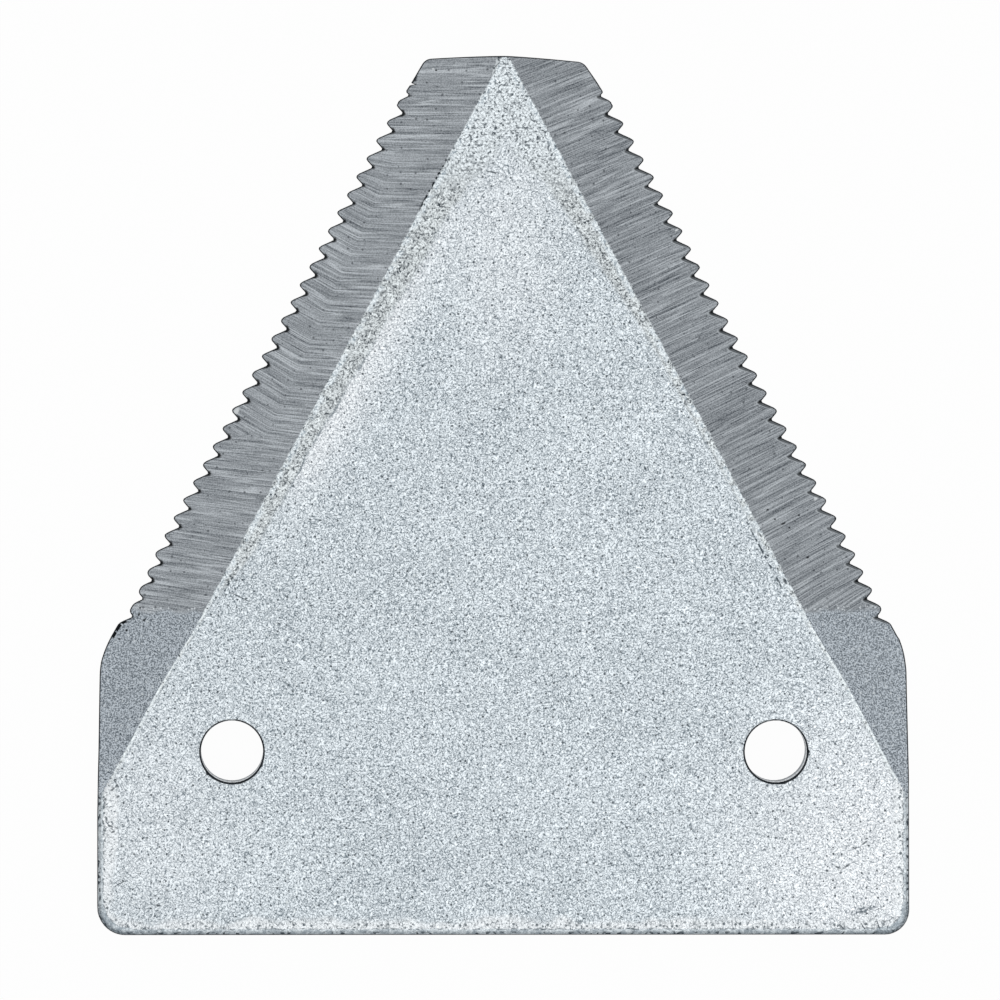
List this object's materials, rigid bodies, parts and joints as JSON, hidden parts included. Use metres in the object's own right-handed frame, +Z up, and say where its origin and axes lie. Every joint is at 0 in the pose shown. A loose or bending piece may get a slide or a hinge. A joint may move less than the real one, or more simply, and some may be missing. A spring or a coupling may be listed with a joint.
{
  "type": "mower sickle section",
  "caption": "Flat triangular knife plate for a mower's cutter bar, bevelled on top, toothed by grooves under both cutting edges, with a rivet hole at each side of its heel.",
  "frame": {"origin": "midway between the two rivet holes, on the underside that seats on the knife back", "axes": "+X across the section, from one cutting edge to the other; +Y towards the nose; +Z up from the underside to the bevelled top"},
  "size_m": [0.076, 0.0821, 0.003],
  "materials": {
    "plated_steel": "dull, fine-grained zinc grey on the flat and the pressed bevels, with bare ground steel on the bevels along both cutting edges"
  },
  "bodies": {
    "root": {"sickle_section": "plated_steel"}
  },
  "joints": []
}
